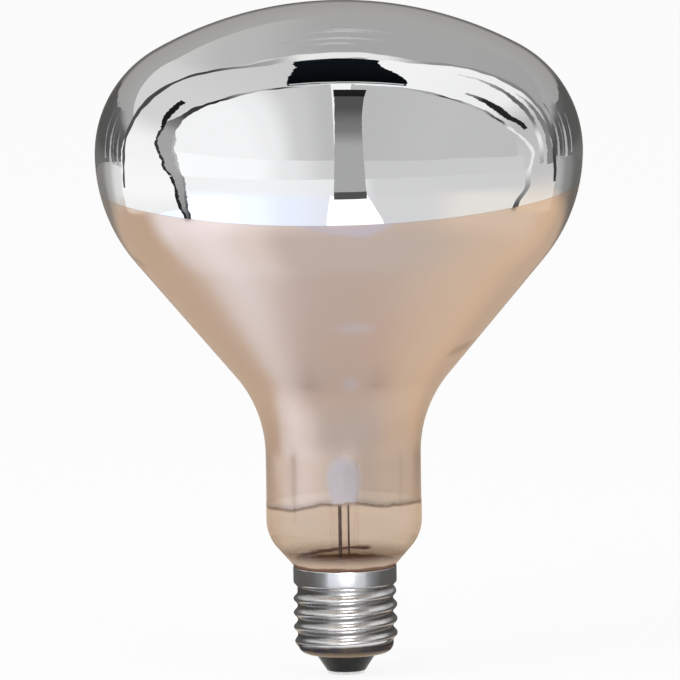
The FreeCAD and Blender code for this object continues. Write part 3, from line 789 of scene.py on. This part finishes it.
def floor_card(finish):
    """The floor as the shiny parts see it, in rings: cool light at the left, warm at the right and behind."""
    warm, clay, tan = (0.62, 0.52, 0.43), (0.75, 0.66, 0.58), (0.83, 0.69, 0.55)
    sand, cream, rose = (0.79, 0.72, 0.64), (0.86, 0.82, 0.77), (0.62, 0.58, 0.60)
    mist, pale, cool, ice = (0.83, 0.87, 0.98), (0.92, 0.97, 1.1), (1.05, 1.14, 1.36), (1.2, 1.32, 1.6)
    slate, silver, grey = (0.64, 0.67, 0.73), (0.84, 0.84, 0.87), (0.72, 0.72, 0.72)
    black, soot = (0.08, 0.075, 0.07), (0.13, 0.13, 0.14)
    # The black ring right round the cap is painted shade under the lamp, which the cap's foot reflects.
    foot = [(-60, black), (-15, soot), (35, soot), (80, black)]
    close = [(-115, warm), (-90, mist), (-43, rose), (20, rose), (87, clay), (130, warm)]
    near = [(-107, warm), (-92, pale), (-70, cool), (-46, pale), (-26, slate), (30, slate), (90, sand),
            (115, tan), (138, warm)]
    far = [(-110, warm), (-92, cool), (-60, ice), (-40, cool), (-24, pale), (9, silver), (17, grey),
           (36, grey), (62, cream), (100, cream), (122, tan), (142, warm)]
    greys = ((-150, 0.24), (-138, 0.46), (-129, 0.78), (-112, 0.99), (-40, 1.0), (9, 0.87), (17, 0.70),
             (100, 0.68), (124, 0.48), (135, 0.27), (150, 0.15))
    rim = [(turn, (level, level, level)) for turn, level in greys]
    zones = ((0.019, 0.026, close), (0.052, 0.085, near), (0.16, 0.22, far), (0.38, 0.52, rim))
    rings, steps, least, most, height = 70, 180, 0.016, 3.0, 0.0012
    rows, levels = [], []
    for number in range(rings + 1):
        radius = least * (most / least) ** (number / rings)
        rows.append([])
        levels.append([])
        for step in range(steps + 1):
            turn = -180 + 360 * step / steps
            angle = math.radians(turn)
            rows[-1].append((radius * math.sin(angle), -radius * math.cos(angle), height))
            level = Vector(between(foot, turn))
            for start, stop, colours in zones:
                share = min(max((radius - start) / (stop - start), 0.0), 1.0)
                level = level.lerp(Vector(between(colours, turn)), share)
            levels[-1].append(tuple(level))
    glowing_sheet("floor_card", rows, levels, finish)


def cap_flags(finish):
    """Dark flags close to the cap's two sides."""
    dark, dim, grey = (0.10, 0.097, 0.09), (0.19, 0.195, 0.2), (0.36, 0.37, 0.40)
    flags = (("flag_left", [(-180, dark), (-66, dark), (-46, dim), (-32, grey)]),
             ("flag_right", [(38, grey), (54, dim), (72, dark), (180, dark)]))
    steps, radius, heights = 80, 0.034, (0.0014, 0.029)
    for name, stops in flags:
        low, high = stops[0][0], stops[-1][0]
        turns = [low + (high - low) * step / steps for step in range(steps + 1)]
        angles = [math.radians(turn) for turn in turns]
        ends = [(radius * math.sin(angle), -radius * math.cos(angle)) for angle in angles]
        rows = [[(x, y, height) for x, y in ends] for height in heights]
        glowing_sheet(name, rows, [[between(stops, turn) for turn in turns]] * len(rows), finish)


def front_paper(finish):
    """Bright paper lying in front, and a cooler sheet before it that ends in a point towards the lamp."""
    sheets = (("front_paper", [(-0.022, 0.074, -0.20), (-0.03, 0.09, -0.42)], (1.3, 1.3, 1.35)),
              ("front_point", [(0.033, 0.033, -0.154), (-0.085, 0.107, -0.193)], (0.66, 0.76, 1.06)))
    steps, height = 8, 0.0045
    for name, edges, level in sheets:
        rows = [[(low + (high - low) * step / steps, y, height) for step in range(steps + 1)]
                for low, high, y in edges]
        glowing_sheet(name, rows, [[level] * (steps + 1)] * len(rows), finish)


def tent_cards(finish):
    """The tent's two bright walls in front with a slit between them, and the dark hatch above it."""
    walls = [(-89, (-7, 104)), (-50, (-7, 92)), (-2, (-7, 87))]
    white = [(-80, 1.0), (-42, 1.0), (-30, 0.94), (-16, 0.66), (-4, 0.55)]
    card("tent_left", wall_way, walls, (-89, -2), white, 1.00, finish, 0.6)
    lower = [(-80, 1.08), (-40, 1.06), (-22, 0.88), (-4, 0.68)]
    card("tent_left_low", round_way, (-7, 9.5), (-84, -2), lower, 0.99, finish, 0.2)
    walls = [(4, (-7, 87)), (50, (-7, 92)), (89, (-7, 104))]
    grey = [(10, 0.54), (40, 0.57), (80, 0.56)]
    card("tent_right", wall_way, walls, (4, 89), grey, 1.00, finish, 0.6)
    walls = [(4, (-7, 9)), (50, (-7, 6)), (95, (-7, 1))]
    card("tent_right_low", round_way, walls, (4, 95), [(10, 0.64), (95, 0.66)], 0.99, finish, 0.2)
    slit = [(-17, 0.42), (20, 0.42), (40, 0.20), (62, 0.09)]
    card("tent_slit", strip_way, [(-17, (-2.2, 11.5)), (79, (-1.2, 8.8))], (-17, 79), slit, 0.96, finish, 0.2)
    card("slit_top", strip_way, (-1.4, 9.0), (72, 80), [(72, 0.015)], 0.955, finish, 0.2)
    card("slit_foot", strip_way, (-2.2, 11.5), (-18.5, -14.5), [(-18, 0.09)], 0.955, finish, 0.2)
    hatch = [(88, (-14.5, 20)), (118, (-8, 7.5))]
    blacks = [(88, (0.002, 0.003, 0.004)), (118, (0.005, 0.007, 0.009))]
    card("tent_hatch", strip_way, hatch, (88, 118), blacks, 0.965, finish, 0.5)
    card("hatch_line", strip_way, (-14, 19), (89, 90), [(89, 0.75)], 0.955, finish, 0.2)


def hoop_cards(finish):
    """Crooked dark hoops round the tent's front walls, and the bright bands behind them."""
    left = [(-118, (75.5, 78.5)), (-105, (74.7, 80.5)), (-90, (79, 88.5)), (-77, (84, 96)), (-66, (87.5, 97)),
            (-57, (88.5, 92)), (-38, (86.5, 88.5)), (-5, (85.5, 86.5))]
    greys = [(-118, 0.08), (-110, 0.34), (-90, 0.42), (-70, 0.40), (-62, 0.2), (-55, 0.05), (-40, 0.03),
             (-24, 0.5), (-18, 0.05), (-8, 0.7)]
    card("hoop_left", hoop_way, left, (-118, -5), greys, 0.975, finish, 1.2)
    outer = [(place, (high - 1.3, high + 0.6)) for place, (low, high) in left]
    card("hoop_left_rim", hoop_way, outer, (-118, -66), [(-118, 0.02), (-66, 0.05)], 0.97, finish, 1.2)
    black = [(-68, (95.5, 98)), (-60, (97, 101.5)), (-49, (98.5, 102.5))]
    card("hoop_left_gap", hoop_way, black, (-68, -49), [(-68, 0.012)], 0.965, finish, 0.8)
    inner = [(place, (low - 0.6, low + 0.8)) for place, (low, high) in left]
    greys = [(-118, 0.03), (-100, 0.3), (-90, 0.55), (-74, 0.5)]
    card("hoop_left_lip", hoop_way, inner, (-118, -70), greys, 0.97, finish, 1.2)
    right = [(5, (85.5, 86.5)), (36, (83.5, 85)), (60, (87.5, 89)), (66, (90, 91.5)), (89, (101, 103)),
             (103, (96, 99)), (114, (88, 91))]
    greys = [(5, 0.7), (30, 0.4), (36, 0.04), (48, 0.5), (64, 0.05), (71, 0.9), (96, 0.9), (106, 0.3),
             (114, 0.04)]
    card("hoop_right", hoop_way, right, (5, 114), greys, 0.975, finish, 1.2)
    edges = [(place, (high - 0.5, 121)) for place, (low, high) in left]
    greys = [(-112.5, 0.96), (-104, 1.05), (-80, 1.0), (-62, 0.72), (-5, 0.64)]
    card("band_left", hoop_way, edges, (-112.5, -5), greys, 0.985, finish, 1.8)
    edges = [(place, (high - 0.5, 119)) for place, (low, high) in right]
    greys = [(5, 1.0), (52, 0.95), (72, 0.55), (98, 0.6), (114, (0.95, 0.87, 0.76))]
    card("band_right", hoop_way, edges, (5, 114), greys, 0.985, finish, 1.8)
    wedge = [(40, (93, 95)), (60, (93, 98)), (74, (100, 103))]
    card("wedge_right", hoop_way, wedge, (40, 74), [(40, 0.3), (50, 0.02)], 0.98, finish, 0.8)
    streak = [(30, (110, 111)), (60, (108, 111)), (96, (107, 110))]
    greys = [(30, 0.6), (56, 0.14), (70, 0.2), (82, 0.9), (96, 0.4)]
    card("streak_right", hoop_way, streak, (30, 96), greys, 0.98, finish, 1.0)
    streak = [(54, (114, 115)), (80, (114, 118)), (97, (113, 118))]
    card("streak_outer", hoop_way, streak, (54, 97), [(54, 0.5), (66, 0.22), (97, 0.26)], 0.98, finish, 1.0)
    greys = [(-104, 0.10), (-30, 0.06), (-14, 0.4), (-6, 0.9), (8, 0.9), (20, 0.3), (60, 0.25), (100, 0.05)]
    card("band_edge", hoop_way, (118.5, 121), (-104, 104), greys, 0.98, finish, 1.8)


def back_cards(finish):
    """The grey room behind the lamp, darker low down, with fine bright streaks."""
    wall = [(-97, 0.60), (-64, 0.72), (-40, 0.72), (-20, 0.53), (0, 0.42), (97, 0.38)]
    card("back_wall", hoop_way, (114, 180), (-97, 97), wall, 1.12, finish)
    greys = [(150, 0.42), (168, 0.38), (176, 0.15), (181, 0.12), (187, 0.16)]
    card("back_low", strip_way, (-84, 84), (150, 187), greys, 1.10, finish)
    card("fill_left", hoop_way, (84, 104), (-97, -60), [(-97, 1.0)], 1.02, finish)
    card("fill_right", hoop_way, (84, 104), (60, 97), [(60, 0.55), (97, 0.62)], 1.02, finish)
    greys = [(158, 0.36), (165, 0.13), (173, 0.10), (181, 0.10), (187, 0.17)]
    edges = [(158, (-84, -44)), (178, (-84, -14))]
    card("back_left", strip_way, edges, (158, 187), greys, 1.095, finish, 3.0)
    edges = [(158, (44, 84)), (178, (14, 84))]
    card("back_right", strip_way, edges, (158, 187), greys, 1.095, finish, 3.0)
    streaks = ((123.5, 2.6, 0.55), (129, 1.4, 0.34), (132, 3.4, 0.62), (140, 2.0, 0.5))
    for number, (lean, width, level) in enumerate(streaks):
        inward, outward = -78 + number * 3, 66 + number * 4
        greys = [(-110, level), (-92, level * 0.8), (inward, 0.16)]
        slope = [(-110, (lean - 1, lean - 1 + width)), (-74, (lean + 4, lean + 4 + width * 0.4))]
        card(f"side_streak_{number}", hoop_way, slope, (-97, inward), greys, 1.09, finish, 0.5)
        greys = [(outward, 0.22), (88, level * 0.8), (108, level)]
        slope = [(66, (lean + 2, lean + 2 + width * 0.4)), (108, (lean - 1, lean - 1 + width))]
        card(f"side_glint_{number}", hoop_way, slope, (outward, 97), greys, 1.09, finish, 0.5)
    arcs = ((127, -6, 3), (130.4, -8, 7), (135, -5, 5), (136.5, -2, 8))
    for number, (lift, start, stop) in enumerate(arcs):
        greys = [(start, 0.44), (1, 0.58), (stop, 0.44)]
        card(f"top_arc_{number}", wall_way, (lift, lift + 1.0), (start, stop), greys, 1.10, finish, 0.4)


def area_lamp(name, shape, size, power, spot, aim):
    light = bpy.data.lights.new(name, "AREA")
    light.shape = shape
    light.size, light.size_y = size
    light.energy = power
    lamp = bpy.data.objects.new(name, light)
    lamp.location = spot
    lamp.rotation_euler = (Vector(aim) - Vector(spot)).to_track_quat("-Z", "Y").to_euler()
    bpy.context.scene.collection.objects.link(lamp)
    return lamp


def make_lamps(cap):
    """Two soft lamps that reflections don't show, and one that lights only the cap."""
    body = (0, 0, 0.08)
    key = area_lamp("key_lamp", "DISK", (1.1, 1.1), 9.0, (-0.9, -0.7, 0.9), body)
    fill = area_lamp("fill_lamp", "DISK", (1.2, 1.2), 3.0, (0.9, -0.9, 0.8), body)
    for lamp in (key, fill):
        lamp.visible_glossy = False
    lamp = area_lamp("cap_lamp", "RECTANGLE", (0.20, 0.52), 2.4, (0.03, -0.42, 0.06), (0, 0, 0.02))
    lit = bpy.data.collections.new("lit_by_cap_lamp")
    lit.objects.link(cap)
    lamp.light_linking.receiver_collection = lit
    lamp.light_linking.blocker_collection = lit


def make_room():
    """White room round the studio, with a lower level where it only lights."""
    room = Finish("white_room", bpy.data.worlds.new("white_room"))
    sockets = {"Value": room.seen(), "To Min": 0.62, "To Max": 1.0}
    level = room.node("ShaderNodeMapRange", sockets=sockets)
    sky = room.node("ShaderNodeBackground", sockets={"Color": (1.0, 1.0, 1.0), "Strength": level})
    bpy.context.scene.world = room.done(sky, "ShaderNodeOutputWorld")


def make_studio(cap):
    mesh = bpy.data.meshes.new("floor")
    work = bmesh.new()
    bmesh.ops.create_grid(work, x_segments=8, y_segments=8, size=12.0)
    work.to_mesh(mesh)
    work.free()
    mesh.materials.append(floor_finish())
    floor = bpy.data.objects.new("floor", mesh)
    bpy.context.scene.collection.objects.link(floor)
    finish = card_finish()
    for make in (floor_card, cap_flags, front_paper, tent_cards, hoop_cards, back_cards):
        make(finish)
    make_lamps(cap)
    make_room()


def make_camera():
    """Camera at the photo's angle, a little rolled, from so far that the view is almost flat."""
    lift, roll = math.radians(7.0), math.radians(0.84)
    aim = Vector((-0.398, 0.0, 85.37)) * MM
    distance, sensor, pixels, pixels_per_mm = 2.6, 36.0, 680, 3.944
    right = Vector((1, 0, 0))
    up = Vector((0, math.sin(lift), math.cos(lift)))
    back = Vector((0, -math.cos(lift), math.sin(lift)))
    side = right * math.cos(roll) - up * math.sin(roll)
    top = right * math.sin(roll) + up * math.cos(roll)
    data = bpy.data.cameras.new("photo_camera")
    data.sensor_width = sensor
    data.lens = sensor * distance / (pixels / pixels_per_mm * MM)
    data.clip_end = 60.0
    camera = bpy.data.objects.new("photo_camera", data)
    turn = Matrix((side, top, back)).transposed().to_4x4()
    camera.matrix_world = Matrix.Translation(aim + back * distance) @ turn
    bpy.context.scene.collection.objects.link(camera)
    bpy.context.scene.camera = camera


make_bulb()
make_mirror_film()
make_champagne_film()
cap = make_cap()
make_insulator()
tin = tin_finish()
make_contact(tin)
make_side_solder(tin)
tungsten = tungsten_finish()
make_filament(tungsten)
stem = stem_finish()
wire = wire_finish()
dressed = (("glass_stem", stem), ("exhaust_tube", stem), ("mount_rod", stem), ("centre_lead", wire),
           ("side_lead", wire), ("filament_supports", tungsten), ("basing_cement", cement_finish()))
for node, finish in dressed:
    dress(node, finish)
make_studio(cap)
make_camera()

scene = bpy.context.scene
scene.view_settings.view_transform = "Standard"
scene.cycles.transparent_max_bounces = 24
